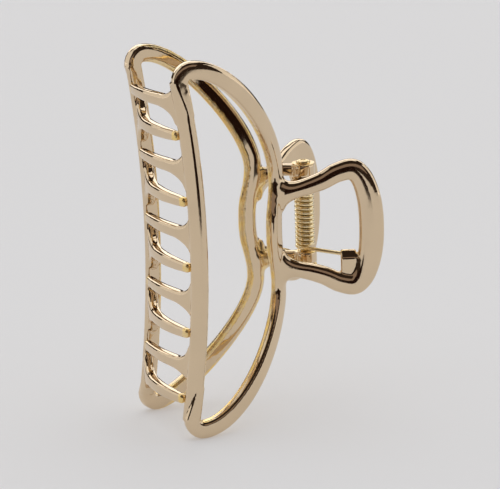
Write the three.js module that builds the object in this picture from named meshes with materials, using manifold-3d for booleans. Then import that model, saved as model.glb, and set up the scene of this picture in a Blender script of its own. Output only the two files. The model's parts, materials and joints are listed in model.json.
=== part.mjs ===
// A large metal hair claw clip: two identical cast jaws turned half a turn from each other,
// a hinge pin through their knuckles, and a torsion spring that pushes the two handles apart.
// Millimetres, +Z along the hinge pin. The clip stands on the ends of its jaws.
import * as THREE from 'three';
import { mergeVertices } from 'three/addons/utils/BufferGeometryUtils.js';
import Module from 'manifold-3d';

const wasm = await Module();
wasm.setup();

// ---- the clip ----
const clipLength = 100;          // end to end, along the pin
const gap = 0.3;                 // clearance between pieces that touch or turn on each other

// ---- the barrel that each jaw's frame is bent over ----
const barrelRadius = 38;
const crestReach = 35;           // from the pin towards the teeth, where the barrel is widest
const crestOut = 14.3;           // half the closed clip's width there

// ---- the D-shaped frame of a jaw ----
const barWidth = 4.7;
const barThickness = 3.2;
const railReach = 38.6;          // from the pin to the middle of the toothed rail
const railBow = 3.8;             // how much farther the rail's ends reach than its middle
const railWidth = 4.1;
const railThickness = 3.1;
const cornerRadius = 3;          // of the frame's centre line, where rail and arch meet
const shoulderReach = 11.8;      // from the pin to the arch, beside the hinge
const shoulderHeight = 15;       // of each shoulder above or below the middle
const saddleDip = 1.55;          // how far the arch bends towards the teeth between the shoulders
const archFullness = 0.405;      // how long the arch stays level after the corner, of its reach
const shoulderFullness = 0.345;  // how long it stays upright before the shoulder, of its height
const footTrim = 0.25;           // taken off each end, so that the clip stands on flats

// ---- teeth ----
const toothCount = 5;
const toothMargin = 10.7;        // from the clip's end to its nearest tooth
const toothWidth = 3.3;
const toothThickness = 2.8;
const tipClearance = 1.15;       // from a tip to the inner face of the other jaw's rail
const toothBulge = 2.9;          // how far the teeth bow outwards past the rail
const rootFillet = 4.3;          // round corner on the far side of a tooth's root
const rootFilletTight = 4;       // round corner on its near side

// ---- handle loop ----
const flare = 24;                // degrees between the handle and the clip's middle plane
const handleReach = 12.05;       // along the handle, from level with the pin to the outer bar
const handleHalf = 15.6;         // half the loop's height, to the bar's centre
const handleRoot = 10.8;         // height of the loop's bars where they leave the arch
const handleBarWidth = 4.35;
const handleGripWidth = 6.6;
const handleThickness = 3.2;
const handleFillet = 3.5;        // round corner in the loop, where it meets the arch
const handleFilletOut = 1.6;     // round corner outside the loop, at the arch

// ---- hinge ----
const pinRadius = 1.2;
const headRadius = 1.9;          // of the pin's two rolled heads
const headHeight = 0.6;
const knuckleWall = 1.6;
const lugHeight = 3.2;           // of one knuckle, along the pin
const lugRoot = 7.4;             // height of the lug where it leaves the arch
const lugArm = 2.8;              // thickness of the lug's arm
const springPlay = 0.7;          // along the pin, from the spring to the first knuckle

// ---- torsion spring ----
const wireRadius = 0.55;
const coilPlay = 0.4;            // between the coil's inside and the pin
const coilGap = 0.1;             // between one turn and the next
const wholeTurns = 12;

// ---- spring stop on the handle ----
const stopAlong = 5.8;           // along the handle, from level with the pin
const stopWidth = 4.2;
const stopDepth = 2.4;
const stopRecess = 0.8;          // from the handle's outer face to the stop's
const stopCover = 1.05;          // how far the stop stands above the spring arm
const stopSlope = 1.7;           // size of the slope on the stop's outer top edge
const armPast = 1.4;             // how far the spring arm runs past the stop's centre
const armDrop = 1;               // how much nearer its jaw's end the arm's tip is than the coil
const armStep = 0.3;             // the same for its root, so that it clears the coil as it turns

const half = clipLength / 2;
const degrees = Math.PI / 180;
const boreRadius = pinRadius + gap;
const knuckleRadius = boreRadius + knuckleWall;
const coilRadius = pinRadius + coilPlay + wireRadius;
const coilPitch = 2 * wireRadius + coilGap;

// Half the clip's width at a reach from the pin: the barrel's arc.
function barrelOut(reach) {
  return crestOut - barrelRadius + Math.sqrt(barrelRadius ** 2 - (reach - crestReach) ** 2);
}

// A jaw is modelled with its own outside towards -Y. A point is given by its reach towards the
// teeth, its distance out from the middle plane, and its height.
const at = (reach, out, height) => new THREE.Vector3(-reach, -out, height);

// The barrel's outward normal.
function barrelNormal(point) {
  const across = (-point.x - crestReach) / barrelRadius;
  return new THREE.Vector3(-across, -Math.sqrt(1 - across ** 2), 0);
}

// ---- sections, one unit wide (x) and one unit thick (y, outwards) ----
function domedSection() {
  const shape = new THREE.Shape();
  shape.moveTo(-0.36, -0.5);
  shape.lineTo(0.36, -0.5);
  shape.lineTo(0.5, -0.3);
  shape.lineTo(0.5, 0.06);
  shape.lineTo(0.3, 0.4);
  shape.lineTo(0, 0.5);
  shape.lineTo(-0.3, 0.4);
  shape.lineTo(-0.5, 0.06);
  shape.lineTo(-0.5, -0.3);
  shape.closePath();
  return shape;
}

// The rail's section: a comb facet on the toothed side, an outer facet, and the window's wall.
function railSection() {
  const shape = new THREE.Shape();
  shape.moveTo(-0.46, -0.5);
  shape.lineTo(0.46, -0.5);
  shape.lineTo(0.5, -0.4);
  shape.lineTo(0.5, 0.14);
  shape.lineTo(0.33, 0.5);
  shape.lineTo(0.06, 0.5);
  shape.lineTo(-0.5, 0.02);
  shape.lineTo(-0.5, -0.4);
  shape.closePath();
  return shape;
}

function roundSection(sides) {
  const shape = new THREE.Shape();
  for (let i = 0; i < sides; i += 1) {
    const angle = (2 * Math.PI * (i + 0.5)) / sides;
    const move = i === 0 ? 'moveTo' : 'lineTo';
    shape[move](0.5 * Math.cos(angle), 0.5 * Math.sin(angle));
  }
  shape.closePath();
  return shape;
}

// The extra width of a rounded root: all of it before start, and none after end.
function filletWidth(t, start, end, amount) {
  const share = Math.min(1, Math.max(0, (end - t) / (end - start)));
  return amount * (1 - Math.sqrt(1 - share ** 2));
}

// Sweeps a unit section along a curve. outward(point) gives the direction of the section's
// y axis, and size(t) its width to the left and right of the centre line and its thickness.
function sweep(section, curve, steps, outward, size) {
  const geometry = new THREE.ExtrudeGeometry(section, { depth: 1, steps, bevelEnabled: false });
  const place = geometry.getAttribute('position');
  const vertex = new THREE.Vector3();
  for (let i = 0; i < place.count; i += 1) {
    vertex.fromBufferAttribute(place, i);
    const t = Math.min(1, Math.max(0, vertex.z));
    const centre = curve.getPointAt(t);
    const along = curve.getTangentAt(t);
    const side = outward(centre).cross(along).normalize();
    const up = along.clone().cross(side).normalize();
    const [left, right, thickness] = size(t);
    const width = vertex.x < 0 ? 2 * left : 2 * right;
    centre.addScaledVector(side, vertex.x * width).addScaledVector(up, vertex.y * thickness);
    place.setXYZ(i, centre.x, centre.y, centre.z);
  }
  return geometry;
}

function toSolid(geometry) {
  const clean = geometry.clone();
  clean.deleteAttribute('normal');
  clean.deleteAttribute('uv');
  const merged = mergeVertices(clean, 1e-4);
  return new wasm.Manifold(new wasm.Mesh({
    numProp: 3,
    vertProperties: new Float32Array(merged.getAttribute('position').array),
    triVerts: new Uint32Array(merged.getIndex().array),
  }));
}

function toGeometry(solid) {
  const mesh = solid.getMesh();
  const geometry = new THREE.BufferGeometry();
  geometry.setAttribute('position', new THREE.BufferAttribute(mesh.vertProperties, 3));
  geometry.setIndex(new THREE.BufferAttribute(mesh.triVerts, 1));
  geometry.computeVertexNormals();
  return geometry;
}

// ---- centre lines of the frame ----
const topHeight = half + footTrim - barWidth / 2;
const railLap = 0.4;             // how far the rail runs on inside the arch's corner
const cornerArc = 0.5 * Math.PI * cornerRadius;
const archSteps = 72;            // close enough for a station within the foot's trim of each end
const facetGrowth = 9;           // over which the comb facet grows from the corner
const railEnd = topHeight - cornerRadius;
const railAt = (height) => railReach + railBow * (height / railEnd) ** 2;
const cornerReach = railAt(railEnd) - cornerRadius;

function onBarrel(reach, height) {
  return at(reach, barrelOut(reach), height);
}

function railCurve() {
  const points = [];
  const segments = 8;
  const end = railEnd + railLap;
  for (let i = 0; i <= segments; i += 1) {
    const height = end * (1 - (2 * i) / segments);
    points.push(onBarrel(railAt(height), height));
  }
  return new THREE.CatmullRomCurve3(points, false, 'centripetal');
}

// The arch starts on the rail and runs round both corners: a flat quarter arc from each corner to
// its shoulder, and the saddle between them.
function archCurve() {
  const upper = [9, 6, 3, 1].map((below) => [railAt(railEnd - below), railEnd - below]);
  for (const turn of [0, 30, 60]) {
    const reach = cornerReach + cornerRadius * Math.cos(turn * degrees);
    upper.push([reach, railEnd + cornerRadius * Math.sin(turn * degrees)]);
  }
  const rise = topHeight - shoulderHeight;
  const run = cornerReach - shoulderReach;
  const quarter = new THREE.CubicBezierCurve(
    new THREE.Vector2(cornerReach, topHeight),
    new THREE.Vector2(cornerReach - archFullness * run, topHeight),
    new THREE.Vector2(shoulderReach, shoulderHeight + shoulderFullness * rise),
    new THREE.Vector2(shoulderReach, shoulderHeight),
  );
  upper.push(...quarter.getPoints(8).map((point) => [point.x, point.y]));
  upper.push([shoulderReach + 0.55 * saddleDip, 0.48 * shoulderHeight]);
  const lower = upper.slice().reverse().map(([reach, height]) => [reach, -height]);
  const outline = [...upper, [shoulderReach + saddleDip, 0], ...lower];
  const points = outline.map(([reach, height]) => onBarrel(reach, height));
  return new THREE.CatmullRomCurve3(points, false, 'centripetal');
}

// ---- teeth ----
// The two jaws' teeth take turns, half a pitch apart, so a jaw's own row sits a quarter pitch
// above its middle.
const toothPitch = (2 * (half - toothMargin)) / (toothCount - 0.5);
const wideFillet = Math.min(rootFillet, 0.5 * (toothPitch - toothWidth));
const toothHeights = [];
for (let i = 0; i < toothCount; i += 1) {
  toothHeights.push(half - toothMargin - i * toothPitch);
}

function toothCurve(height) {
  const root = railAt(height);
  const railOut = barrelOut(root);
  const tip = railOut - 0.5 * railThickness - tipClearance;
  const span = railOut + tip;
  return new THREE.CatmullRomCurve3([
    at(root, railOut, height),
    at(root + 0.62 * toothBulge, railOut - 0.22 * span, height),
    at(root + toothBulge, railOut - 0.55 * span, height),
    at(root + 0.93 * toothBulge, railOut - 0.8 * span, height),
    at(root + 0.72 * toothBulge, -tip, height),
  ], false, 'centripetal');
}

// The tooth's root has a round corner on each side: the wide one below, the tight one above.
function toothSize(t) {
  const taper = 0.5 * toothWidth * (1 - 0.25 * t ** 3);
  const thickness = toothThickness * (1 - 0.3 * t ** 3);
  return [
    taper + filletWidth(t, 0.1, 0.3, rootFilletTight),
    taper + filletWidth(t, 0.1, 0.38, wideFillet),
    thickness,
  ];
}

function tooth(height) {
  const away = () => new THREE.Vector3(-1, 0, 0);
  return toSolid(sweep(roundSection(8), toothCurve(height), 16, away, toothSize));
}

// ---- handle loop ----
// Half the width between the handles level with the pin. The loops leave the arch at the shoulder.
const handleOut = barrelOut(shoulderReach) + shoulderReach * Math.tan(flare * degrees);

// A point of the handle's own plane: along it from level with the pin, inwards of it, and height.
function onHandle(along, inwards, height) {
  const cos = Math.cos(flare * degrees);
  const sin = Math.sin(flare * degrees);
  return at(-along * cos - inwards * sin, handleOut + along * sin - inwards * cos, height);
}

const handleNormal = () => onHandle(0, -1, 0).sub(onHandle(0, 0, 0));

function handleCurve() {
  const cos = Math.cos(flare * degrees);
  const root = -(shoulderReach - 0.4) / cos;
  const rise = handleHalf - handleRoot;
  const upper = [
    [root, handleRoot],
    [0.55 * root, handleRoot + 0.06 * rise],
    [-1, handleRoot + 0.42 * rise],
    [0.3 * handleReach, 0.965 * handleHalf],
    [0.66 * handleReach, 0.98 * handleHalf],
    [0.92 * handleReach, 0.6 * handleHalf],
  ];
  const lower = upper.slice().reverse().map(([along, height]) => [along, -height]);
  const points = [...upper, [handleReach, 0], ...lower];
  const place = ([along, height]) => onHandle(along, 0, height);
  return new THREE.CatmullRomCurve3(points.map(place), false, 'centripetal');
}

function handleSize(t) {
  const grip = Math.sin(Math.PI * t) ** 2;
  const width = 0.5 * (handleBarWidth + (handleGripWidth - handleBarWidth) * grip);
  const near = Math.min(t, 1 - t);
  return [
    width + filletWidth(near, 0.02, 0.095, handleFillet),
    width + filletWidth(near, 0.02, 0.055, handleFilletOut),
    handleThickness,
  ];
}

// ---- where the spring's ends lie ----
// The spring's arm ends on the inner side of the stop. The coil's last turn stops where its
// tangent points there, so the coil has a part turn, the same at both ends.
const armInwards = stopRecess + stopDepth - 0.5 * handleThickness + gap + wireRadius;
const armEnd = onHandle(stopAlong + armPast, armInwards, 0);
const leavingAngle = Math.atan2(armEnd.y, armEnd.x) - Math.acos(coilRadius / armEnd.length());
const coilTurns = wholeTurns + 1 + leavingAngle / Math.PI;
const armHeight = -0.5 * coilPitch * coilTurns;

// The post inside the loop that the spring arm bears on.
function springStop() {
  const centre = onHandle(stopAlong, 0.5 * (stopDepth - handleThickness) + stopRecess, 0);
  const foot = -handleHalf;
  const top = armHeight + stopCover;
  const side = new THREE.Shape();
  side.moveTo(-0.5 * stopDepth, foot);
  side.lineTo(0.5 * stopDepth, foot);
  side.lineTo(0.5 * stopDepth, top);
  side.lineTo(stopSlope - 0.5 * stopDepth, top);
  side.lineTo(-0.5 * stopDepth, top - stopSlope);
  side.closePath();
  const post = new THREE.ExtrudeGeometry(side, { depth: stopWidth, bevelEnabled: false });
  post.translate(0, 0, -0.5 * stopWidth);
  post.rotateX(Math.PI / 2);
  post.rotateZ(Math.PI / 2 - flare * degrees);
  post.translate(centre.x, centre.y, 0);
  return toSolid(post);
}

// ---- hinge lugs ----
// Each jaw's upper lug is the inner one of its pair and its lower lug the outer one, so that the
// same casting turned over fits between them.
function lug(inner, outer, rootHeight) {
  const shoulder = onBarrel(shoulderReach, 0);
  const reach = Math.hypot(shoulder.x, shoulder.y);
  const arm = new THREE.BoxGeometry(reach, lugArm, outer - inner, 2, 1, 1);
  const place = arm.getAttribute('position');
  const middle = 0.5 * (inner + outer);
  for (let i = 0; i < place.count; i += 1) {
    const outwards = place.getX(i) / reach + 0.5;
    const root = Math.max(0, outwards - 0.5) * 2;
    const tall = place.getZ(i) * (1 + root * (lugRoot / (outer - inner) - 1));
    place.setXYZ(i, outwards * reach, place.getY(i), middle + tall + root * (rootHeight - middle));
  }
  arm.rotateZ(Math.atan2(shoulder.y, shoulder.x));
  const knuckle = new THREE.CylinderGeometry(knuckleRadius, knuckleRadius, outer - inner, 20);
  knuckle.rotateX(Math.PI / 2);
  knuckle.translate(0, 0, middle);
  return toSolid(arm).add(toSolid(knuckle));
}

const hingeSpace = 0.5 * coilPitch * coilTurns + wireRadius + springPlay;
const firstLug = [hingeSpace, hingeSpace + lugHeight];
const secondLug = [firstLug[1] + gap, firstLug[1] + gap + lugHeight];

function jaw() {
  const railSize = () => [railWidth / 2, railWidth / 2, railThickness];
  const rail = toSolid(sweep(railSection(), railCurve(), 16, barrelNormal, railSize));
  const archLine = archCurve();
  const length = archLine.getLength();
  const archSize = (t) => {
    const run = length * Math.min(t, 1 - t);
    const grown = Math.min(1, run / facetGrowth);
    const full = Math.min(1, Math.max(0, (run - facetGrowth) / cornerArc));
    const thin = (railWidth / 2) * (0.12 + 0.88 * grown);
    const inside = (railWidth + (barWidth - railWidth) * full) / 2;
    return [inside, thin + (barWidth / 2 - thin) * full, barThickness];
  };
  const arch = toSolid(sweep(domedSection(), archLine, archSteps, barrelNormal, archSize));
  const loop = toSolid(sweep(domedSection(), handleCurve(), 30, handleNormal, handleSize));
  let casting = rail.add(arch).add(loop).add(springStop());
  casting = casting.add(lug(firstLug[0], firstLug[1], shoulderHeight - lugRoot / 2));
  casting = casting.add(lug(-secondLug[1], -secondLug[0], -shoulderHeight + lugRoot / 2));
  for (const height of toothHeights) {
    casting = casting.add(tooth(height));
  }
  const bore = new THREE.CylinderGeometry(boreRadius, boreRadius, clipLength, 16);
  bore.rotateX(Math.PI / 2);
  const betweenFeet = new THREE.BoxGeometry(4 * railReach, 4 * railReach, clipLength);
  return toGeometry(casting.intersect(toSolid(betweenFeet)).subtract(toSolid(bore)));
}

// ---- pin and spring ----
function pin() {
  const end = secondLug[1] + gap;
  const tip = end + headHeight;
  const rim = end + 0.5 * headHeight;
  const half = [[pinRadius, end], [headRadius, end], [headRadius, rim], [0.7 * headRadius, tip],
    [0, tip]];
  const mirrored = half.slice().reverse().map(([radius, height]) => [radius, -height]);
  const profile = [...mirrored, ...half].map(([radius, height]) => new THREE.Vector2(radius, height));
  return new THREE.LatheGeometry(profile, 16).rotateX(Math.PI / 2);
}

function coilCurve() {
  const curve = new THREE.Curve();
  curve.getPoint = (t, target = new THREE.Vector3()) => {
    const angle = leavingAngle - 2 * Math.PI * coilTurns * t;
    const height = armHeight + coilTurns * coilPitch * t;
    return target.set(coilRadius * Math.cos(angle), coilRadius * Math.sin(angle), height);
  };
  curve.getPointAt = curve.getPoint;
  curve.getTangentAt = curve.getTangent;
  return curve;
}

function coil() {
  const steps = Math.round(12 * coilTurns);
  const size = () => [wireRadius, wireRadius, 2 * wireRadius];
  const outward = (point) => new THREE.Vector3(point.x, point.y, 0).normalize();
  return sweep(roundSection(6), coilCurve(), steps, outward, size);
}

function springArm() {
  const leave = new THREE.Vector3(Math.cos(leavingAngle), Math.sin(leavingAngle), 0);
  leave.multiplyScalar(coilRadius);
  const along = armEnd.clone().sub(leave).normalize();
  const start = leave.addScaledVector(along, gap).setZ(armHeight - armStep);
  const line = new THREE.LineCurve3(start, armEnd.clone().setZ(armHeight - armDrop));
  const size = () => [wireRadius, wireRadius, 2 * wireRadius];
  return sweep(roundSection(8), line, 1, () => new THREE.Vector3(0, 0, 1), size);
}

// ---- assembly ----
const gold = new THREE.MeshStandardMaterial({ color: 0xd9c3a0, roughness: 0.18, metalness: 1 });
const springGold = new THREE.MeshStandardMaterial({ color: 0xd8b878, roughness: 0.3, metalness: 1 });

function piece(name, geometry, material, turnedOver = false) {
  const mesh = new THREE.Mesh(geometry, material);
  mesh.name = name;
  mesh.rotation.x = turnedOver ? Math.PI : 0;
  return mesh;
}

const clip = new THREE.Group();
const casting = jaw();
const arm = springArm();
clip.add(
  piece('front_jaw', casting, gold),
  piece('back_jaw', casting, gold, true),
  piece('hinge_pin', pin(), gold),
  piece('spring_coil', coil(), springGold),
  piece('spring_arm_front', arm, springGold),
  piece('spring_arm_back', arm, springGold, true),
);

// The origin is under the middle of the clip's box.
const box = new THREE.Box3().setFromObject(clip, true);
clip.position.set(-0.5 * (box.min.x + box.max.x), -0.5 * (box.min.y + box.max.y), -box.min.z);

export default clip;
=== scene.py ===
import json
import math

import bpy
from bpy.props import FloatProperty, FloatVectorProperty, IntProperty, PointerProperty
from mathutils import Matrix, Vector, kdtree
from mathutils.geometry import interpolate_bezier


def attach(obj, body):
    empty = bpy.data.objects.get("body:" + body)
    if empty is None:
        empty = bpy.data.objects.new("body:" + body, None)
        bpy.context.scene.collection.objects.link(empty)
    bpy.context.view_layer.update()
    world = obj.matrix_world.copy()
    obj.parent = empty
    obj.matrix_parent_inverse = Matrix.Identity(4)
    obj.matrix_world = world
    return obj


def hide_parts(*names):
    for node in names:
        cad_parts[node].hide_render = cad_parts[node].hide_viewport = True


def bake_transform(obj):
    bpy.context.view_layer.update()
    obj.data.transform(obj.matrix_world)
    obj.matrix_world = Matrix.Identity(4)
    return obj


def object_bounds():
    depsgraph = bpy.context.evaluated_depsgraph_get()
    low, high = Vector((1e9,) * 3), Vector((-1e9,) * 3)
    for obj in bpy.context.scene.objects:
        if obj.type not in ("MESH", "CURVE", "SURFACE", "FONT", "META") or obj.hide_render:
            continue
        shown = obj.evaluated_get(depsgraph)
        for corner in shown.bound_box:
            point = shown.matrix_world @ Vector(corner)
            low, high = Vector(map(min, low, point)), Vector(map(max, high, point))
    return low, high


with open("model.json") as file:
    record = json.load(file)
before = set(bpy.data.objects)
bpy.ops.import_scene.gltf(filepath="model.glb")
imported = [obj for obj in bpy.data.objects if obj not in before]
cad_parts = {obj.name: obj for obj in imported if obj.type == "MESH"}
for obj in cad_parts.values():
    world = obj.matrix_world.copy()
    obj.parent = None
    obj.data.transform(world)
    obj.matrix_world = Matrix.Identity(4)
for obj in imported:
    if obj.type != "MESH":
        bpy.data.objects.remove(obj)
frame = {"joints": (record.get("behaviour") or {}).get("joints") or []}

bl_info = {
    "name": "Metal claw clip",
    "version": (1, 0, 0),
    "blender": (4, 5, 0),
    "location": "3D View > Sidebar > Claw Clip",
    "description": "Models a cast claw clip over its CAD frame, with its finishes and a studio",
    "category": "Object",
}

CAD_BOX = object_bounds()
HINGE = Vector(frame["joints"][0]["pos_m"])
HALF_LENGTH = 0.5 * (CAD_BOX[1][2] - CAD_BOX[0][2])
TURNED_OVER = Matrix.Rotation(math.pi, 4, "X")


# ---------------------------------------------------------------- sizes and colours

def length(name, default, description):
    return FloatProperty(name=name, default=default, description=description, unit="LENGTH",
                         precision=5)


def colour(name, default, description):
    return FloatVectorProperty(name=name, default=default, description=description,
                               subtype="COLOR", size=3, min=0, max=1)


class ClipFrameSizes(bpy.types.PropertyGroup):
    barrel_radius: length("Barrel radius", 0.038, "Radius that the D-shaped frame is bent to")
    crest_reach: length("Crest reach", 0.035, "From the pin to where the clip is widest")
    crest_out: length("Crest width", 0.0143, "Half the closed clip's width there")
    bar_width: length("Bar width", 0.0047, "Width of the arch's bar")
    bar_thickness: length("Bar thickness", 0.0032, "Thickness of the arch's bar")
    rail_reach: length("Rail reach", 0.0386, "From the pin to the middle of the toothed rail")
    rail_bow: length("Rail bow", 0.0038, "How much farther the rail's ends reach than its middle")
    rail_width: length("Rail width", 0.0041, "Width of the toothed rail")
    rail_thickness: length("Rail thickness", 0.0031, "Thickness of the toothed rail")
    corner_radius: length("Corner radius", 0.003, "Radius of the frame's two toothed corners")
    shoulder_reach: length("Shoulder reach", 0.0118, "From the pin to the arch beside the hinge")
    shoulder_height: length("Shoulder height", 0.015, "Of each shoulder from the middle")
    saddle_dip: length("Saddle dip", 0.00155, "How far the arch bends in between its shoulders")
    arch_fullness: FloatProperty(name="Arch fullness", default=0.405,
                                 description="How far along the top the arch stays level")
    shoulder_fullness: FloatProperty(name="Shoulder fullness", default=0.345,
                                     description="How far up from a shoulder it stays upright")
    comb_extra: length("Comb extra", 0.0003, "Extra width on the rail's toothed side")
    facet_growth: length("Facet growth", 0.009, "Over which the comb facet ends at a corner")
    corner_blend: length("Corner blend", 0.005, "Over which the arch comes to its full width")
    lap: length("Lap", 0.0004, "How far a bar's end runs on inside its neighbour")


class ClipToothSizes(bpy.types.PropertyGroup):
    count: IntProperty(name="Teeth", default=5, description="Teeth on each jaw")
    margin: length("End margin", 0.0107, "From the clip's end to its nearest tooth")
    width: length("Width", 0.0033, "Width of a tooth, along the rail")
    thickness: length("Thickness", 0.0028, "Thickness of a tooth")
    bulge: length("Bulge", 0.0029, "How far the teeth bow out past the rail")
    tip_clearance: length("Tip clearance", 0.00115, "From a tip to the other jaw's rail")
    wide_fillet: length("Wide fillet", 0.0043, "Round corner on the far side of a tooth's root")
    tight_fillet: length("Tight fillet", 0.004, "Round corner on the near side of its root")


class ClipHandleSizes(bpy.types.PropertyGroup):
    flare: FloatProperty(name="Flare", default=math.radians(24), subtype="ANGLE",
                         description="Angle between the handle and the clip's middle plane")
    reach: length("Reach", 0.01205, "From level with the pin to the outer bar")
    half_height: length("Half height", 0.0156, "Half the loop's height, to its bars' centres")
    root_height: length("Root height", 0.0108, "Height of the bars where they leave the arch")
    bar_width: length("Bar width", 0.00435, "Width of the loop's bars at their roots")
    grip_width: length("Grip width", 0.0066, "Width of the outer bar, where a thumb presses")
    root_fillet: length("Root fillet", 0.0035, "Round corner in the loop, where it meets the arch")
    outer_fillet: length("Outer fillet", 0.0016, "Round corner outside the loop, at the arch")
    thickness: length("Thickness", 0.0032, "Thickness of the loop's bars")
    stop_along: length("Stop place", 0.0058, "Along the handle to the spring's stop")
    stop_width: length("Stop width", 0.0042, "Width of the spring's stop")
    stop_depth: length("Stop depth", 0.0024, "Depth of the spring's stop")
    stop_recess: length("Stop recess", 0.0008, "From the handle's outer face to the stop's")
    stop_cover: length("Stop cover", 0.00105, "How far the stop stands above the spring's arm")
    stop_slope: length("Stop slope", 0.0017, "Size of the slope on the stop's outer top edge")
    root_swell: length("Root swell", 0.0007, "Extra thickness of the bars at their roots")
    soft_radius: length("Soft radius", 0.0072, "Round each root, where the casting is softened")
    soft_fade: length("Soft fade", 0.0025, "Over which that softening fades out")


class ClipHingeSizes(bpy.types.PropertyGroup):
    pin_radius: length("Pin radius", 0.0012, "Radius of the hinge pin")
    bore_radius: length("Bore radius", 0.0015, "Radius of the knuckles' bores")
    knuckle_radius: length("Knuckle radius", 0.0031, "Outer radius of the knuckles")
    lug_height: length("Lug height", 0.0032, "Height of a knuckle along the pin")
    lug_root: length("Lug root", 0.0074, "Height of a lug where it leaves the arch")
    lug_arm: length("Lug arm", 0.0028, "Thickness of a lug's arm")
    lug_gap: length("Lug gap", 0.0003, "Between the two jaws' knuckles")
    head_radius: length("Head radius", 0.0019, "Radius of the pin's two rolled heads")
    head_height: length("Head height", 0.0006, "Height of a rolled head")
    wire_radius: length("Wire radius", 0.00055, "Radius of the spring's wire")
    coil_radius: length("Coil radius", 0.00215, "Radius of the coil to the wire's centre")
    coil_gap: length("Coil gap", 0.0001, "Between one turn of the coil and the next")
    whole_turns: IntProperty(name="Whole turns", default=12, description="Turns of the coil")
    spring_play: length("Spring play", 0.0007, "From the coil to the first knuckle")
    arm_past: length("Arm past stop", 0.0014, "How far the arm runs past the stop's centre")
    arm_drop: length("Arm drop", 0.001, "How far the arm slopes to its jaw's end")


class ClipFinish(bpy.types.PropertyGroup):
    voxel: length("Cast detail", 0.00028, "Size of the casting's surface grid")
    polished: colour("Polished plating", (0.76, 0.60, 0.41), "Outer faces of the castings")
    warm: colour("Cast plating", (0.93, 0.68, 0.27), "Walls and edges, plated over rough casting")
    pale: colour("Pale plating", (0.86, 0.68, 0.40), "Where that plating is thin")
    spring: colour("Spring wire", (1.0, 0.84, 0.52), "Gold-plated spring wire")
    edge_start: length("Rough edge", 0.00095, "From a bar's middle to its inner face's rough edge")
    edge_fade: length("Rough edge fade", 0.0006, "Over which that edge begins")
    tip_length: length("Rough tip", 0.0016, "Length of a tooth's rough tip")
    floor: colour("Floor", (0.8, 0.8, 0.81), "Studio floor")


class ClipStudio(bpy.types.PropertyGroup):
    azimuth: FloatProperty(name="Azimuth", default=math.radians(-29), subtype="ANGLE",
                           description="Camera's angle round the clip")
    elevation: FloatProperty(name="Elevation", default=math.radians(14.7), subtype="ANGLE",
                             description="Camera's angle above the floor")
    roll: FloatProperty(name="Roll", default=math.radians(1.5), subtype="ANGLE",
                        description="How far the camera leans")
    focal: FloatProperty(name="Focal length", default=188.35, description="In millimetres")
    distance: length("Distance", 0.699, "From the camera to the hinge")
    aim_left: length("Aim left", 0.01456, "How far left of the hinge the camera looks")
    aim_down: length("Aim down", 0.0068, "How far below the hinge the camera looks")
    floor_width: length("Floor width", 4, "Width of the floor")
    floor_front: length("Floor in front", 0.4, "From the clip to the floor's front edge")
    floor_back: length("Floor behind", 1.4, "From the clip to the floor's back edge")
    floor_apron: length("Floor apron", 1.8, "From the clip to the front edge of the apron")
    card_distance: length("Card distance", 0.228, "From the clip to the dark card before it")
    card_width: length("Card width", 0.14, "Width of the dark card, which only the metal shows")
    card_height: length("Card height", 0.08, "Height of the dark card")
    sky: FloatProperty(name="Sky", default=2.64, description="Strength of the soft light overhead")
    room: colour("Room", (0.03, 0.02, 0.015), "Dim room behind the lights")


def sizes(group):
    return getattr(bpy.context.scene, "clip_" + group)


def clamp(value, low=0, high=1):
    return min(high, max(low, value))


# ---------------------------------------------------------------- modelling by hand

def deselect():
    if bpy.context.object and bpy.context.object.mode != "OBJECT":
        bpy.ops.object.mode_set(mode="OBJECT")
    bpy.ops.object.select_all(action="DESELECT")


def activate(piece):
    deselect()
    piece.select_set(True)
    bpy.context.view_layer.objects.active = piece


def turn(rotation, centre):
    """Turns what is selected by a rotation matrix about a point."""
    for axis, angle in zip("XYZ", rotation.to_euler("XYZ")):
        if abs(angle) > 1e-7:
            bpy.ops.transform.rotate(value=-angle, orient_axis=axis, center_override=centre)


def resize(factors, axes, centre):
    bpy.ops.transform.resize(value=factors, orient_type="GLOBAL", orient_matrix=axes,
                             orient_matrix_type="GLOBAL", center_override=centre)


def section_outline(sides, outer, inner):
    """A bar's section, one unit wide and one thick. outer and inner say how square each half is."""
    outline = []
    for i in range(sides):
        angle = 2 * math.pi * (i + 0.5) / sides
        c, s = math.cos(angle), math.sin(angle)
        power = 2 / (outer if s > 0 else inner)
        outline.append(Vector((0.5 * math.copysign(abs(c) ** power, c),
                               0.5 * math.copysign(abs(s) ** power, s), 0)))
    return outline


def rounded_outline(corners, share):
    """A section of flat facets: each corner of a polygon is cut twice, share of its edges long."""
    outline = [Vector(corner) for corner in corners]
    for _ in range(2):
        cut = []
        for i, corner in enumerate(outline):
            cut.append(corner.lerp(outline[i - 1], share))
            cut.append(corner.lerp(outline[(i + 1) % len(outline)], share))
        outline = cut
    return [Vector((point.x, point.y, 0)) for point in outline]


def fillet(t, start, end, amount):
    """The extra width of a rounded root: all of it before start, and none after end."""
    share = clamp((end - t) / (end - start))
    return amount * (1 - math.sqrt(1 - share ** 2))


def stations(route, outward, size):
    """Places along a route, each with its axes (across, outwards, along), width and thickness."""
    total = sum((b - a).length for a, b in zip(route, route[1:]))
    run = 0
    places = []
    for i, point in enumerate(route):
        if i:
            run += (point - route[i - 1]).length
        along = (route[min(i + 1, len(route) - 1)] - route[max(i - 1, 0)]).normalized()
        across = outward(point).cross(along).normalized()
        up = along.cross(across).normalized()
        axes = Matrix((across, up, along)).transposed()
        left, right, thickness = size(run / total)
        centre = point + across * 0.5 * (right - left)
        places.append((centre, axes, left + right, thickness))
    return places


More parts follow.
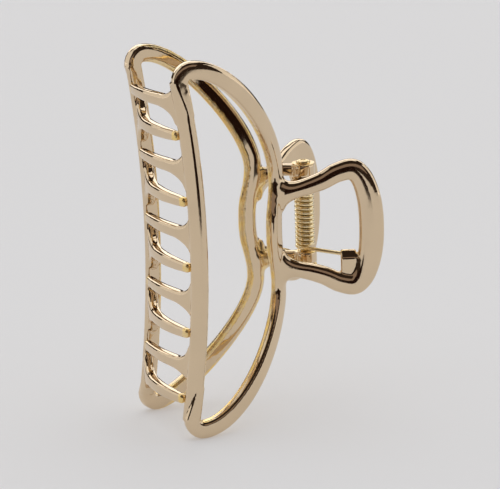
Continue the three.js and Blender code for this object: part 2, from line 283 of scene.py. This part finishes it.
def bar(name, outline, places):
    """A bar extruded place by place along its stations from one section."""
    deselect()
    bpy.ops.mesh.primitive_circle_add(vertices=len(outline), radius=1, fill_type="NGON",
                                      location=(0, 0, 0))
    piece = bpy.context.object
    piece.name = name
    for vertex, place in zip(piece.data.vertices, outline):
        vertex.co = place
    bpy.ops.object.mode_set(mode="EDIT")
    bpy.ops.mesh.select_all(action="SELECT")
    here, axes, width, thickness = Vector(), Matrix.Identity(3), 1, 1
    for i, (point, new_axes, new_width, new_thickness) in enumerate(places):
        if i:
            bpy.ops.mesh.extrude_region_move(TRANSFORM_OT_translate={"value": point - here})
        else:
            bpy.ops.transform.translate(value=point - here)
        turn(new_axes @ axes.inverted(), point)
        resize((new_width / width, new_thickness / thickness, 1), new_axes, point)
        here, axes, width, thickness = point, new_axes, new_width, new_thickness
    bpy.ops.mesh.select_all(action="SELECT")
    bpy.ops.mesh.normals_make_consistent(inside=False)
    bpy.ops.object.mode_set(mode="OBJECT")
    return piece


def finish_modifier(piece, kind, **settings):
    activate(piece)
    modifier = piece.modifiers.new(kind.title(), kind)
    for key, value in settings.items():
        setattr(modifier, key, value)
    bpy.ops.object.modifier_apply(modifier=modifier.name)


def join(pieces, name):
    deselect()
    for piece in pieces:
        piece.select_set(True)
    bpy.context.view_layer.objects.active = pieces[0]
    bpy.ops.object.join()
    pieces[0].name = name
    pieces[0].data.name = name
    return pieces[0]


def through(points, steps):
    """A smooth route through points, with curve handles along the chord past each point."""
    knots = []
    for i, point in enumerate(points):
        before, after = points[max(i - 1, 0)], points[min(i + 1, len(points) - 1)]
        chord = (after - before).normalized()
        back, ahead = (point - before).length, (after - point).length
        knots.append((point, point - chord * back / 3, point + chord * ahead / 3))
    route = [points[0]]
    for (a, _, leave), (b, arrive, _) in zip(knots, knots[1:]):
        route += interpolate_bezier(a, leave, arrive, b, steps + 1)[1:]
    return route


# ---------------------------------------------------------------- the jaw's shape

def at(reach, out, height):
    """A point by its reach from the pin, its distance out and its height from the middle."""
    return HINGE + Vector((-reach, -out, height))


def barrel_out(reach):
    s = sizes("frame")
    return s.crest_out - s.barrel_radius + math.sqrt(
        s.barrel_radius ** 2 - (reach - s.crest_reach) ** 2)


def on_barrel(reach, height):
    return at(reach, barrel_out(reach), height)


def barrel_normal(point):
    s = sizes("frame")
    across = (HINGE.x - point.x - s.crest_reach) / s.barrel_radius
    return Vector((-across, -math.sqrt(1 - across ** 2), 0))


def frame_corner():
    """Height of the arch's top, height where the rail's corner starts, and the corner's reach."""
    s = sizes("frame")
    top = HALF_LENGTH - 0.5 * s.bar_width
    rail_end = top - s.corner_radius
    return top, rail_end, s.rail_reach + s.rail_bow - s.corner_radius


def rail_at(height):
    s = sizes("frame")
    return s.rail_reach + s.rail_bow * (height / frame_corner()[1]) ** 2


def quarter(count):
    """The arch's side from its corner to its shoulder, as points of reach and height."""
    s = sizes("frame")
    top, _, corner_reach = frame_corner()
    run, rise = corner_reach - s.shoulder_reach, top - s.shoulder_height
    return interpolate_bezier(
        Vector((corner_reach, top)),
        Vector((corner_reach - s.arch_fullness * run, top)),
        Vector((s.shoulder_reach, s.shoulder_height + s.shoulder_fullness * rise)),
        Vector((s.shoulder_reach, s.shoulder_height)), count)


def rail_bar():
    s = sizes("frame")
    end = frame_corner()[1] + s.lap
    route = [on_barrel(rail_at(height), height)
             for height in (end * (1 - i / 24) for i in range(49))]
    half = 0.5 * s.rail_width
    # a comb facet on the toothed side, then an outer facet, then the window's wall
    corners = ((0.06, 0.5), (-0.5, 0.02), (-0.5, -0.5), (0.5, -0.5), (0.5, 0.14), (0.33, 0.5))
    places = stations(route, barrel_normal, lambda t: (half + s.comb_extra, half, s.rail_thickness))
    return bar("rail", rounded_outline(corners, 0.12), places)


def arch_bar():
    """The arch, which starts on the rail and runs round both of its corners."""
    s = sizes("frame")
    _, rail_end, corner_reach = frame_corner()
    upper = [(rail_at(height), height)
             for height in (rail_end - s.facet_growth * step / 6 for step in range(6, 0, -1))]
    for i in range(7):
        angle = math.radians(15 * i)
        upper.append((corner_reach + s.corner_radius * math.cos(angle),
                      rail_end + s.corner_radius * math.sin(angle)))
    saddle = interpolate_bezier(
        Vector((s.shoulder_reach, s.shoulder_height)),
        Vector((s.shoulder_reach, 0.6 * s.shoulder_height)),
        Vector((s.shoulder_reach + s.saddle_dip, 0.5 * s.shoulder_height)),
        Vector((s.shoulder_reach + s.saddle_dip, 0)), 14)
    upper += [(p.x, p.y) for p in quarter(30)[1:] + saddle[1:]]
    lower = [(reach, -height) for reach, height in reversed(upper[:-1])]
    route = [on_barrel(reach, height) for reach, height in upper + lower]
    total = sum((b - a).length for a, b in zip(route, route[1:]))

    def size(t):
        # beside the rail the outside half starts thin, so the rail's comb facet ends at the corner
        run = total * min(t, 1 - t)
        narrow = 0.5 * s.rail_width * (0.12 + 0.88 * clamp(run / s.facet_growth))
        full = clamp((run - s.facet_growth) / s.corner_blend)
        outside = narrow + (0.5 * s.bar_width - narrow) * full
        inside = 0.5 * (s.rail_width + (s.bar_width - s.rail_width) * full)
        return inside, outside, s.bar_thickness

    return bar("arch", section_outline(28, 3.8, 5), stations(route, barrel_normal, size))


def tooth_heights():
    s = sizes("tooth")
    pitch = 2 * (HALF_LENGTH - s.margin) / (s.count - 0.5)
    return [HALF_LENGTH - s.margin - i * pitch for i in range(s.count)]


def tooth_bar(height):
    s, f = sizes("tooth"), sizes("frame")
    root = rail_at(height)
    rail_out = barrel_out(root)
    tip = rail_out - 0.5 * f.rail_thickness - s.tip_clearance
    span = rail_out + tip
    line = [(0, 0), (0.62, 0.22), (1, 0.55), (0.93, 0.8), (0.72, 1)]
    points = [at(root + bow * s.bulge, rail_out - share * span, height) for bow, share in line]

    def size(t):
        taper = 0.5 * s.width * (1 - 0.25 * t ** 3)
        return (taper + fillet(t, 0.1, 0.3, s.tight_fillet),
                taper + fillet(t, 0.1, 0.38, s.wide_fillet), s.thickness * (1 - 0.3 * t ** 3))

    places = stations(through(points, 10), lambda point: Vector((-1, 0, 0)), size)
    centre, axes, width, thickness = places[-1]
    # the tip narrows in two short steps
    for step, share in ((0.00035, 0.86), (0.0003, 0.55)):
        centre = centre + axes.col[2] * step
        places.append((centre, axes, width * share, thickness * share))
    return bar("tooth", section_outline(20, 4.2, 4.2), places)


# ---------------------------------------------------------------- handle, stop and lugs

def on_handle(along, inwards, height):
    """A point of the handle's own plane: along it from level with the pin, inwards, and height."""
    s = sizes("handle")
    cos, sin = math.cos(s.flare), math.sin(s.flare)
    shoulder = sizes("frame").shoulder_reach
    out = barrel_out(shoulder) + shoulder * math.tan(s.flare)
    return at(-along * cos - inwards * sin, out + along * sin - inwards * cos, height)


def handle_normal(point=None):
    return (on_handle(0, -1, 0) - on_handle(0, 0, 0)).normalized()


def handle_bar():
    s = sizes("handle")
    frame_sizes = sizes("frame")
    root = (frame_sizes.lap - frame_sizes.shoulder_reach) / math.cos(s.flare)
    rise = s.half_height - s.root_height
    upper = [
        (root, s.root_height),
        (0.55 * root, s.root_height + 0.06 * rise),
        (-0.001, s.root_height + 0.42 * rise),
        (0.3 * s.reach, 0.965 * s.half_height),
        (0.66 * s.reach, 0.98 * s.half_height),
        (0.92 * s.reach, 0.6 * s.half_height),
    ]
    lower = [(along, -height) for along, height in reversed(upper)]
    points = [on_handle(along, 0, height) for along, height in upper + [(s.reach, 0)] + lower]

    def size(t):
        grip = math.sin(math.pi * t) ** 2
        width = 0.5 * (s.bar_width + (s.grip_width - s.bar_width) * grip)
        near = min(t, 1 - t)
        return (width + fillet(near, 0.02, 0.095, s.root_fillet),
                width + fillet(near, 0.02, 0.055, s.outer_fillet),
                s.thickness + s.root_swell * max(0, 1 - near / 0.1))

    return bar("handle", section_outline(24, 2.5, 4.5),
               stations(through(points, 12), handle_normal, size))


def spring_lines():
    """The arm's end, the angle where the wire leaves the coil, its turns and the arm's height."""
    s, h = sizes("hinge"), sizes("handle")
    inwards = h.stop_recess + h.stop_depth - 0.5 * h.thickness + s.lug_gap + s.wire_radius
    end = on_handle(h.stop_along + s.arm_past, inwards, 0) - HINGE
    leaving = math.atan2(end.y, end.x) - math.acos(s.coil_radius / end.length)
    turns = s.whole_turns + 1 + leaving / math.pi
    pitch = 2 * s.wire_radius + s.coil_gap
    return end, leaving, turns, -0.5 * pitch * turns


def stop_block():
    s = sizes("handle")
    centre = on_handle(s.stop_along, 0.5 * (s.stop_depth - s.thickness) + s.stop_recess, 0)
    foot, top = -s.half_height, spring_lines()[3] + s.stop_cover
    deselect()
    bpy.ops.mesh.primitive_cube_add(size=1, location=(0, 0, 0))
    piece = bpy.context.object
    bpy.ops.object.mode_set(mode="EDIT")
    resize((s.stop_width, s.stop_depth, top - foot), Matrix.Identity(3), (0, 0, 0))
    bpy.ops.mesh.select_all(action="DESELECT")
    bpy.ops.mesh.select_mode(type="EDGE")
    bpy.ops.object.mode_set(mode="OBJECT")
    for edge in piece.data.edges:
        middle = sum((piece.data.vertices[i].co for i in edge.vertices), Vector()) / 2
        edge.select = middle.y < -0.4 * s.stop_depth and middle.z > 0.4 * (top - foot)
    bpy.ops.object.mode_set(mode="EDIT")
    bpy.ops.mesh.bevel(offset=s.stop_slope, segments=1, affect="EDGES")
    bpy.ops.mesh.select_all(action="SELECT")
    bpy.ops.mesh.bevel(offset=0.0003, segments=2, affect="EDGES")
    bpy.ops.mesh.select_all(action="SELECT")
    turn(Matrix.Rotation(-s.flare, 3, "Z"), (0, 0, 0))
    bpy.ops.transform.translate(value=(centre.x, centre.y, HINGE.z + 0.5 * (foot + top)))
    bpy.ops.object.mode_set(mode="OBJECT")
    return piece


def knuckle(low, high):
    """A ring round the pin, spun from its section."""
    s = sizes("hinge")
    wall = s.knuckle_radius - s.bore_radius
    deselect()
    bpy.ops.mesh.primitive_plane_add(size=1, location=(0, 0, 0))
    piece = bpy.context.object
    bpy.ops.object.mode_set(mode="EDIT")
    resize((wall, high - low, 1), Matrix.Identity(3), (0, 0, 0))
    turn(Matrix.Rotation(math.pi / 2, 3, "X"), (0, 0, 0))
    bpy.ops.transform.translate(value=HINGE + Vector((s.bore_radius + 0.5 * wall, 0,
                                                      0.5 * (low + high))))
    bpy.ops.mesh.spin(steps=40, angle=2 * math.pi, center=HINGE, axis=(0, 0, 1))
    bpy.ops.mesh.select_all(action="SELECT")
    bpy.ops.mesh.remove_doubles(threshold=1e-6)
    bpy.ops.mesh.select_all(action="SELECT")
    bpy.ops.mesh.delete_loose()
    bpy.ops.mesh.select_all(action="SELECT")
    bpy.ops.mesh.normals_make_consistent(inside=False)
    bpy.ops.object.mode_set(mode="OBJECT")
    return piece


def lug(low, high, root_height):
    """A knuckle and the arm that carries it from the arch's shoulder."""
    s, f = sizes("hinge"), sizes("frame")
    shoulder = on_barrel(f.shoulder_reach, root_height) - HINGE
    middle = 0.5 * (low + high)
    flat = Vector((shoulder.x, shoulder.y, 0))
    inner = flat.normalized() * 0.5 * (s.bore_radius + s.knuckle_radius)
    points = [inner + Vector((0, 0, middle)), 0.5 * flat + Vector((0, 0, middle)),
              0.8 * flat + Vector((0, 0, 0.4 * middle + 0.6 * root_height)),
              flat + Vector((0, 0, root_height))]
    across = flat.normalized().cross(Vector((0, 0, 1)))

    def size(t):
        grow = max(0, t - 0.35) / 0.65
        tall = (high - low) + (s.lug_root - (high - low)) * grow ** 2
        return 0.5 * tall, 0.5 * tall, s.lug_arm

    places = stations(through([HINGE + p for p in points], 5), lambda point: across, size)
    return [knuckle(low, high), bar("lug", section_outline(16, 4, 4), places)]


def lug_heights():
    s = sizes("hinge")
    pitch = 2 * s.wire_radius + s.coil_gap
    inner = 0.5 * pitch * spring_lines()[2] + s.wire_radius + s.spring_play
    outer = inner + s.lug_height + s.lug_gap
    return inner, outer, outer + s.lug_height


# ---------------------------------------------------------------- shader maths

class Wire:
    """A node socket that can be used in sums."""

    def __init__(self, nodes, socket):
        self.nodes, self.socket = nodes, socket

    def _math(self, operation, a, b):
        return self.nodes.add("ShaderNodeMath", {"operation": operation}, {0: a, 1: b})

    def __add__(self, other):
        return self._math("ADD", self, other)

    def __sub__(self, other):
        return self._math("SUBTRACT", self, other)

    def __mul__(self, other):
        return self._math("MULTIPLY", self, other)

    def __rsub__(self, other):
        return self._math("SUBTRACT", other, self)

    __radd__, __rmul__ = __add__, __mul__


class Material:
    """A material whose nodes are added one by one by a single method."""

    def __init__(self, name):
        self.material = bpy.data.materials.new(name)
        self.material.use_nodes = True
        self.tree = self.material.node_tree
        self.shader = self.tree.nodes["Principled BSDF"]

    def add(self, kind, settings=None, values=None, output=0):
        node = self.tree.nodes.new(kind)
        for key, value in (settings or {}).items():
            setattr(node, key, value)
        for key, value in (values or {}).items():
            self.put(node.inputs[key], value)
        return Wire(self, node.outputs[output])

    def put(self, socket, value):
        if isinstance(value, Wire):
            self.tree.links.new(value.socket, socket)
        else:
            socket.default_value = value

    def surface(self, **values):
        for key, value in values.items():
            self.put(self.shader.inputs[key.replace("_", " ")], value)
        return self.material

    def ramp(self, value, low, high):
        """0 below low, 1 above high, and smooth between them."""
        return self.add("ShaderNodeMapRange", {"interpolation_type": "SMOOTHSTEP"},
                        {"Value": value, "From Min": low, "From Max": high})

    def mix(self, share, a, b):
        # a Mix node's colour sockets are inputs 6 and 7, and its colour result is output 2
        return self.add("ShaderNodeMix", {"data_type": "RGBA"}, {0: share, 6: a, 7: b}, 2)

    def noise(self, place, scale, detail=3, roughness=0.5):
        return self.add("ShaderNodeTexNoise", None,
                        {"Vector": place, "Scale": scale, "Detail": detail,
                         "Roughness": roughness})

    def place(self):
        return self.add("ShaderNodeTexCoord", output=3)


def cast_plating():
    """Champagne plating: mirror-like outside, and warmer over the rough casting inside."""
    finish = sizes("finish")
    m = Material("cast_plating")
    place = m.place()
    skin = m.add("ShaderNodeAttribute", {"attribute_name": "cast_side"}, output=2)
    cloud = m.noise(place, 90, 2)
    pits = m.noise(place, 700, 3)
    skin = m.ramp(skin + 0.9 * (pits - 0.5) + 0.3 * (cloud - 0.5), 0.3, 0.7)
    polished = m.mix(m.ramp(cloud, 0.35, 0.7), (*finish.polished, 1),
                     (*[0.96 * c for c in finish.polished], 1))
    warm = m.mix(m.ramp(m.noise(place, 420, 3), 0.35, 0.65), (*finish.warm, 1),
                 (*finish.pale, 1))
    tone = m.mix(skin, polished, warm)
    rough = 0.05 + 0.04 * cloud + skin * (0.08 + 0.16 * pits)
    grain = m.noise(place, 1500, 4, 0.6)
    height = skin * (0.6 * pits + 0.4 * grain) + 0.04 * m.noise(place, 260, 1)
    bump = m.add("ShaderNodeBump", None,
                 {"Strength": 0.4, "Distance": 0.0002, "Height": height})
    return m.surface(Base_Color=tone, Metallic=1.0, Roughness=rough, Normal=bump)


def pin_plating():
    finish = sizes("finish")
    m = Material("pin_plating")
    place = m.place()
    cloud = m.noise(place, 400, 2)
    tone = m.mix(cloud, (*finish.polished, 1), (*finish.warm, 1))
    bump = m.add("ShaderNodeBump", None, {"Strength": 0.2, "Distance": 0.0001,
                                          "Height": m.noise(place, 900, 2)})
    return m.surface(Base_Color=tone, Metallic=1.0, Roughness=0.14 + 0.12 * cloud, Normal=bump)


def wire_plating():
    finish = sizes("finish")
    m = Material("wire_plating")
    place = m.place()
    cloud = m.noise(place, 500, 2)
    tone = m.mix(cloud, (*finish.spring, 1), (*[0.9 * c for c in finish.spring], 1))
    bump = m.add("ShaderNodeBump", None, {"Strength": 0.15, "Distance": 0.0001,
                                          "Height": m.noise(place, 1400, 2)})
    return m.surface(Base_Color=tone, Metallic=1.0, Roughness=0.16 + 0.1 * cloud, Normal=bump)


def floor_paper():
    m = Material("floor_paper")
    place = m.place()
    shade = tuple(sizes("finish").floor)
    cloud = m.noise(place, 3, 2)
    tone = m.mix(cloud, (*shade, 1), (*[0.995 * c for c in shade], 1))
    m.shader.inputs["Specular IOR Level"].default_value = 0.1
    return m.surface(Base_Color=tone, Roughness=0.8 + 0.05 * cloud)


def dark_felt():
    m = Material("dark_felt")
    fibre = m.noise(m.place(), 300, 2)
    tone = m.mix(fibre, (0.03, 0.012, 0.008, 1), (0.02, 0.01, 0.008, 1))
    m.shader.inputs["Specular IOR Level"].default_value = 0
    return m.surface(Base_Color=tone, Roughness=0.95)


def wear(piece, material, slot, body, *nodes):
    piece.data.materials.clear()
    piece.data.materials.append(material)
    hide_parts(*nodes)
    if body:
        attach(piece, body)


# ---------------------------------------------------------------- operators

def centre_line():
    """The frame's middle lines, to look up how near an edge a point is."""
    f = sizes("frame")
    rail_end = frame_corner()[1]
    places = [(rail_at(rail_end * i / 60), rail_end * i / 60) for i in range(-60, 61)]
    for point in quarter(90):
        places += [(point.x, point.y), (point.x, -point.y)]
    for i in range(-20, 21):
        share = i / 20
        places.append((f.shoulder_reach + f.saddle_dip * (1 - share ** 2) ** 1.5,
                       f.shoulder_height * share))
    line = kdtree.KDTree(len(places))
    for i, (reach, height) in enumerate(places):
        line.insert((reach, height, 0), i)
    line.balance()
    return line


def mark_sides(piece):
    """Marks 1 on walls round the openings, on inner edges and on tooth tips, and 0 elsewhere."""
    f, t, h, finish = sizes("frame"), sizes("tooth"), sizes("handle"), sizes("finish")
    comb = f.rail_reach - 0.5 * f.rail_width
    inner_face = 0.5 * f.rail_thickness - barrel_out(comb)
    tip = barrel_out(f.rail_reach) - 0.5 * f.rail_thickness - t.tip_clearance
    window = 0.5 * (f.rail_reach + f.shoulder_reach) + 0.004
    line = centre_line()
    sides = piece.data.attributes.new("cast_side", "FLOAT", "POINT")
    for vertex, value in zip(piece.data.vertices, sides.data):
        place = vertex.co - HINGE
        reach = -place.x
        if place.y > inner_face and reach > comb:
            value.value = clamp((place.y - tip + finish.tip_length) / 0.001)
            continue
        on_loop = reach < f.shoulder_reach - 0.5 * f.bar_width
        outwards = handle_normal() if on_loop else barrel_normal(vertex.co)
        middle = Vector((0.3 * h.reach if on_loop else -window, place.y, 0))
        tall = 0.4 * h.half_height if on_loop else 0.6 * HALF_LENGTH
        middle.z = clamp(place.z, -tall, tall)
        facing = vertex.normal.dot(outwards)
        to_opening = vertex.normal.dot((middle - place).normalized())
        if on_loop:
            depth = (vertex.co - on_handle(0, 0, 0)).dot(outwards) / (0.5 * h.thickness)
        else:
            axis = at(f.crest_reach, f.crest_out - f.barrel_radius, place.z)
            depth = ((vertex.co - axis).length - f.barrel_radius) / (0.5 * f.bar_thickness)
        wall = clamp((0.7 - facing) / 0.2) * clamp((facing + 0.95) / 0.15)
        low = clamp((0.1 - depth) / 0.3)
        if on_loop:
            value.value = wall * low * clamp(2 * to_opening)
        elif facing < -0.3:
            _, _, away = line.find((reach, place.z, 0))
            value.value = max(wall, clamp((away - finish.edge_start) / finish.edge_fade))
        else:
            on_rail = clamp((reach - comb) / 0.0008)
            value.value = wall * max(low, 0.9 * on_rail) * clamp(0.1 + 2 * to_opening)


def soften_roots(piece):
    """Runs the handle's two roots into the arch, as the casting's fillets do."""
    s, f = sizes("handle"), sizes("frame")
    along = -f.shoulder_reach / math.cos(s.flare)
    roots = [on_handle(along + 0.001, 0, way * s.root_height) for way in (1, -1)]
    group = piece.vertex_groups.new(name="handle_roots")
    for vertex in piece.data.vertices:
        near = min((vertex.co - root).length for root in roots)
        if near < s.soft_radius:
            group.add([vertex.index], clamp((s.soft_radius - near) / s.soft_fade), "REPLACE")
    finish_modifier(piece, "SMOOTH", factor=0.6, iterations=46, vertex_group=group.name)
    piece.vertex_groups.clear()


class CLIP_OT_jaws(bpy.types.Operator):
    """Models one jaw casting and turns a copy over for the other"""

    bl_idname = "clip.jaws"
    bl_label = "Jaws"

    def execute(self, context):
        hinge, frame_sizes, finish = sizes("hinge"), sizes("frame"), sizes("finish")
        inner, outer, end = lug_heights()
        root = frame_sizes.shoulder_height - 0.5 * hinge.lug_root
        parts = [rail_bar(), arch_bar(), handle_bar(), stop_block()]
        parts += [tooth_bar(height) for height in tooth_heights()]
        parts += lug(inner, inner + hinge.lug_height, root)
        parts += lug(-end, -outer, -root)
        jaw = join(parts, "front_jaw_casting")
        finish_modifier(jaw, "REMESH", mode="VOXEL", voxel_size=finish.voxel)
        finish_modifier(jaw, "SMOOTH", factor=0.5, iterations=4)
        soften_roots(jaw)
        mark_sides(jaw)
        activate(jaw)
        bpy.ops.object.shade_smooth()
        other = jaw.copy()
        other.data = jaw.data.copy()
        other.name = other.data.name = "back_jaw_casting"
        context.collection.objects.link(other)
        other.data.transform(
            Matrix.Translation(HINGE) @ TURNED_OVER @ Matrix.Translation(-HINGE))
        plating = cast_plating()
        wear(jaw, plating, "plated_casting", "front", "front_jaw")
        wear(other, plating, "plated_casting", "back", "back_jaw")
        return {"FINISHED"}


class CLIP_OT_pin(bpy.types.Operator):
    """Models the hinge pin with its two peened ends"""

    bl_idname = "clip.pin"
    bl_label = "Hinge pin"

    def execute(self, context):
        s = sizes("hinge")
        end = lug_heights()[2] + s.lug_gap
        deselect()
        bpy.ops.mesh.primitive_cylinder_add(vertices=48, radius=s.pin_radius, depth=2 * end,
                                            location=HINGE)
        pin = bpy.context.object
        pin.name = pin.data.name = "peened_pin"
        bpy.ops.object.transform_apply(location=True)
        head = s.head_radius / s.pin_radius
        # each step of a head: how far it rises, in head heights, and its radius, in pin radii
        steps = ((0, head), (0.45, head), (0.35, 0.95 * head), (0.2, 0.82 * head),
                 (0, 0.62 * head), (-0.3, 0.5 * head), (-0.1, 0.3 * head))
        bpy.ops.object.mode_set(mode="EDIT")
        for way in (1, -1):
            bpy.ops.mesh.select_all(action="DESELECT")
            bpy.ops.mesh.select_mode(type="FACE")
            bpy.ops.object.mode_set(mode="OBJECT")
            for face in pin.data.polygons:
                face.select = face.normal.z * way > 0.9
            bpy.ops.object.mode_set(mode="EDIT")
            tip, radius = HINGE + Vector((0, 0, way * end)), 1
            for rise, wide in steps:
                step = Vector((0, 0, way * rise * s.head_height))
                tip = tip + step
                bpy.ops.mesh.extrude_region_move(TRANSFORM_OT_translate={"value": step})
                resize((wide / radius, wide / radius, 1), Matrix.Identity(3), tip)
                radius = wide
        bpy.ops.object.mode_set(mode="OBJECT")
        bpy.ops.object.shade_smooth_by_angle(angle=math.radians(50))
        wear(pin, pin_plating(), "plated_pin", "front", "hinge_pin")
        return {"FINISHED"}


class CLIP_OT_spring(bpy.types.Operator):
    """Winds the torsion spring from one wire and bends it between the two jaws"""

    bl_idname = "clip.spring"
    bl_label = "Torsion spring"

    def execute(self, context):
        s = sizes("hinge")
        end, leaving, turns, low = spring_lines()
        steps = round(24 * turns)
        front = [Vector((end.x, end.y, low - s.arm_drop))]
        leave = Vector((math.cos(leaving), math.sin(leaving), 0)) * s.coil_radius
        for i in range(1, 8):
            share = i / 8
            front.append(front[0].lerp(Vector((leave.x, leave.y, low)), share))
        coil = []
        for i in range(steps + 1):
            angle = leaving - 2 * math.pi * turns * i / steps
            coil.append(Vector((s.coil_radius * math.cos(angle), s.coil_radius * math.sin(angle),
                                low - 2 * low * i / steps)))
        back = [Vector((p.x, -p.y, -p.z)) for p in reversed(front)]
        deselect()
        bpy.ops.curve.primitive_bezier_curve_add(location=(0, 0, 0))
        wire = bpy.context.object
        curve = wire.data
        curve.splines.clear()
        line = curve.splines.new("POLY")
        route = [HINGE + p for p in front + coil + back]
        line.points.add(len(route) - 1)
        for point, place in zip(line.points, route):
            point.co = (*place, 1)
        curve.bevel_depth = s.wire_radius
        curve.bevel_resolution = 3
        curve.use_fill_caps = True
        bpy.ops.object.convert(target="MESH")
        wire = bpy.context.object
        wire.name = wire.data.name = "torsion_spring"
        bpy.ops.object.shade_smooth_by_angle(angle=math.radians(50))
        wear(wire, wire_plating(), "spring_wire", None,
             "spring_coil", "spring_arm_front", "spring_arm_back")
        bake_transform(wire)
        return {"FINISHED"}


def softbox(name, centre, width, height, glow, tint):
    """A rectangular light that shows only in the metal, with its glow as the metal sees it."""
    deselect()
    facing = (centre - HINGE).to_track_quat("Z", "Y").to_euler()
    bpy.ops.object.light_add(type="AREA", location=centre, rotation=facing)
    lamp = bpy.context.object
    lamp.name = name
    lamp.data.color = tint
    lamp.data.shape = "RECTANGLE"
    lamp.data.size, lamp.data.size_y = width, height
    lamp.data.energy = glow * math.pi * width * height
    lamp.visible_camera = lamp.visible_diffuse = False


class CLIP_OT_studio(bpy.types.Operator):
    """Sets the floor, the lights and the camera"""

    bl_idname = "clip.studio"
    bl_label = "Studio"

    def execute(self, context):
        scene = context.scene
        studio = sizes("studio")
        foot = Vector((HINGE.x, HINGE.y, 0))
        facing = Matrix.Rotation(studio.azimuth, 3, "Z")

        def place(right, back, height):
            return foot + facing @ Vector((right, back, height))

        # the clip mirrors the floor, and not the apron that carries it on towards the camera
        for name, near, far in (("studio_floor", -studio.floor_front, studio.floor_back),
                                ("floor_apron", -studio.floor_apron, -studio.floor_front)):
            deselect()
            bpy.ops.mesh.primitive_plane_add(size=1, location=(0, 0, 0))
            floor = bpy.context.object
            floor.name = name
            bpy.ops.object.mode_set(mode="EDIT")
            resize((studio.floor_width, far - near, 1), Matrix.Identity(3), (0, 0, 0))
            bpy.ops.transform.translate(value=(0, 0.5 * (near + far), 0))
            turn(facing, (0, 0, 0))
            bpy.ops.transform.translate(value=foot)
            bpy.ops.object.mode_set(mode="OBJECT")
            floor.data.materials.append(floor_paper())
            floor.visible_glossy = name == "studio_floor"

        deselect()
        bpy.ops.mesh.primitive_plane_add(size=1, location=(0, 0, 0))
        card = bpy.context.object
        card.name = "dark_card"
        bpy.ops.object.mode_set(mode="EDIT")
        resize((studio.card_width, studio.card_height, 1), Matrix.Identity(3), (0, 0, 0))
        turn(Matrix.Rotation(math.pi / 2, 3, "X"), (0, 0, 0))
        turn(facing, (0, 0, 0))
        bpy.ops.transform.translate(
            value=place(0, -studio.card_distance, 0.5 * studio.card_height + 0.001))
        bpy.ops.object.mode_set(mode="OBJECT")
        card.data.materials.append(dark_felt())
        card.visible_camera = card.visible_shadow = card.visible_diffuse = False

        world = bpy.data.worlds.new("dim_room")
        scene.world = world
        world.use_nodes = True
        world.node_tree.nodes["Background"].inputs["Color"].default_value = (*studio.room, 1)

        white, rosy = (1, 1, 1), (1, 0.8, 0.7)
        # each box: where it hangs, its width and height, its glow and its tint
        softbox("top_box", place(0, 0.35, 1.2), 1.2, 0.7, 1.3, white)
        softbox("right_box", place(1.2, 0.1, 0.4), 1.1, 1.0, 0.9, white)
        softbox("left_box", place(-1.1, 0.1, 0.65), 1.4, 1.6, 0.8, white)
        softbox("back_box", place(0, 1.7, 0.95), 3.2, 1.1, 1.6, white)
        softbox("front_box", place(0, -1.1, 0.42), 2.2, 0.5, 0.24, rosy)
        # half of the light casts no shadow, so the floor darkens mainly round the feet
        for name, share, spread, shadow in (("even_sky", 0.52, 60, False),
                                            ("soft_sky", 0.48, 130, True)):
            deselect()
            bpy.ops.object.light_add(type="SUN", location=place(0, 0, 1.5),
                                     rotation=(math.radians(-8), math.radians(10), 0))
            sun = bpy.context.object
            sun.name = name
            sun.data.energy = share * studio.sky
            sun.data.angle = math.radians(spread)
            sun.data.use_shadow = shadow
            sun.visible_glossy = False

        scene.view_settings.view_transform = "Standard"
        back = Vector((math.sin(studio.azimuth) * math.cos(studio.elevation),
                       -math.cos(studio.azimuth) * math.cos(studio.elevation),
                       math.sin(studio.elevation)))
        right = Vector((0, 0, 1)).cross(back).normalized()
        up = back.cross(right)
        tilt = Matrix.Rotation(-studio.roll, 3, back)
        right, up = tilt @ right, tilt @ up
        spot = HINGE + studio.distance * back
        aim = HINGE - studio.aim_left * right - studio.aim_down * up
        back = (spot - aim).normalized()
        right = up.cross(back).normalized()
        up = back.cross(right)
        deselect()
        bpy.ops.object.camera_add(location=spot)
        camera = bpy.context.object
        camera.rotation_euler = Matrix((right, up, back)).transposed().to_euler()
        camera.data.lens = studio.focal
        camera.data.sensor_width = 36
        camera.data.clip_start = 0.01
        scene.camera = camera
        return {"FINISHED"}


class CLIP_PT_panel(bpy.types.Panel):
    bl_label = "Claw Clip"
    bl_idname = "CLIP_PT_panel"
    bl_space_type = "VIEW_3D"
    bl_region_type = "UI"
    bl_category = "Claw Clip"

    def draw(self, context):
        for operator in OPERATORS:
            self.layout.operator(operator.bl_idname)
        for name in GROUPS:
            group = sizes(name)
            box = self.layout.box()
            for key in group.__annotations__:
                box.prop(group, key)


OPERATORS = (CLIP_OT_jaws, CLIP_OT_pin, CLIP_OT_spring, CLIP_OT_studio)
GROUPS = {
    "frame": ClipFrameSizes,
    "tooth": ClipToothSizes,
    "handle": ClipHandleSizes,
    "hinge": ClipHingeSizes,
    "finish": ClipFinish,
    "studio": ClipStudio,
}


def register():
    for name, group in GROUPS.items():
        bpy.utils.register_class(group)
        setattr(bpy.types.Scene, "clip_" + name, PointerProperty(type=group))
    for operator in OPERATORS:
        bpy.utils.register_class(operator)
    bpy.utils.register_class(CLIP_PT_panel)


def unregister():
    bpy.utils.unregister_class(CLIP_PT_panel)
    for operator in reversed(OPERATORS):
        bpy.utils.unregister_class(operator)
    for name, group in GROUPS.items():
        delattr(bpy.types.Scene, "clip_" + name)
        bpy.utils.unregister_class(group)


def main():
    register()
    bpy.ops.clip.jaws()
    bpy.ops.clip.pin()
    bpy.ops.clip.spring()
    bpy.ops.clip.studio()


if __name__ == "__main__":
    main()
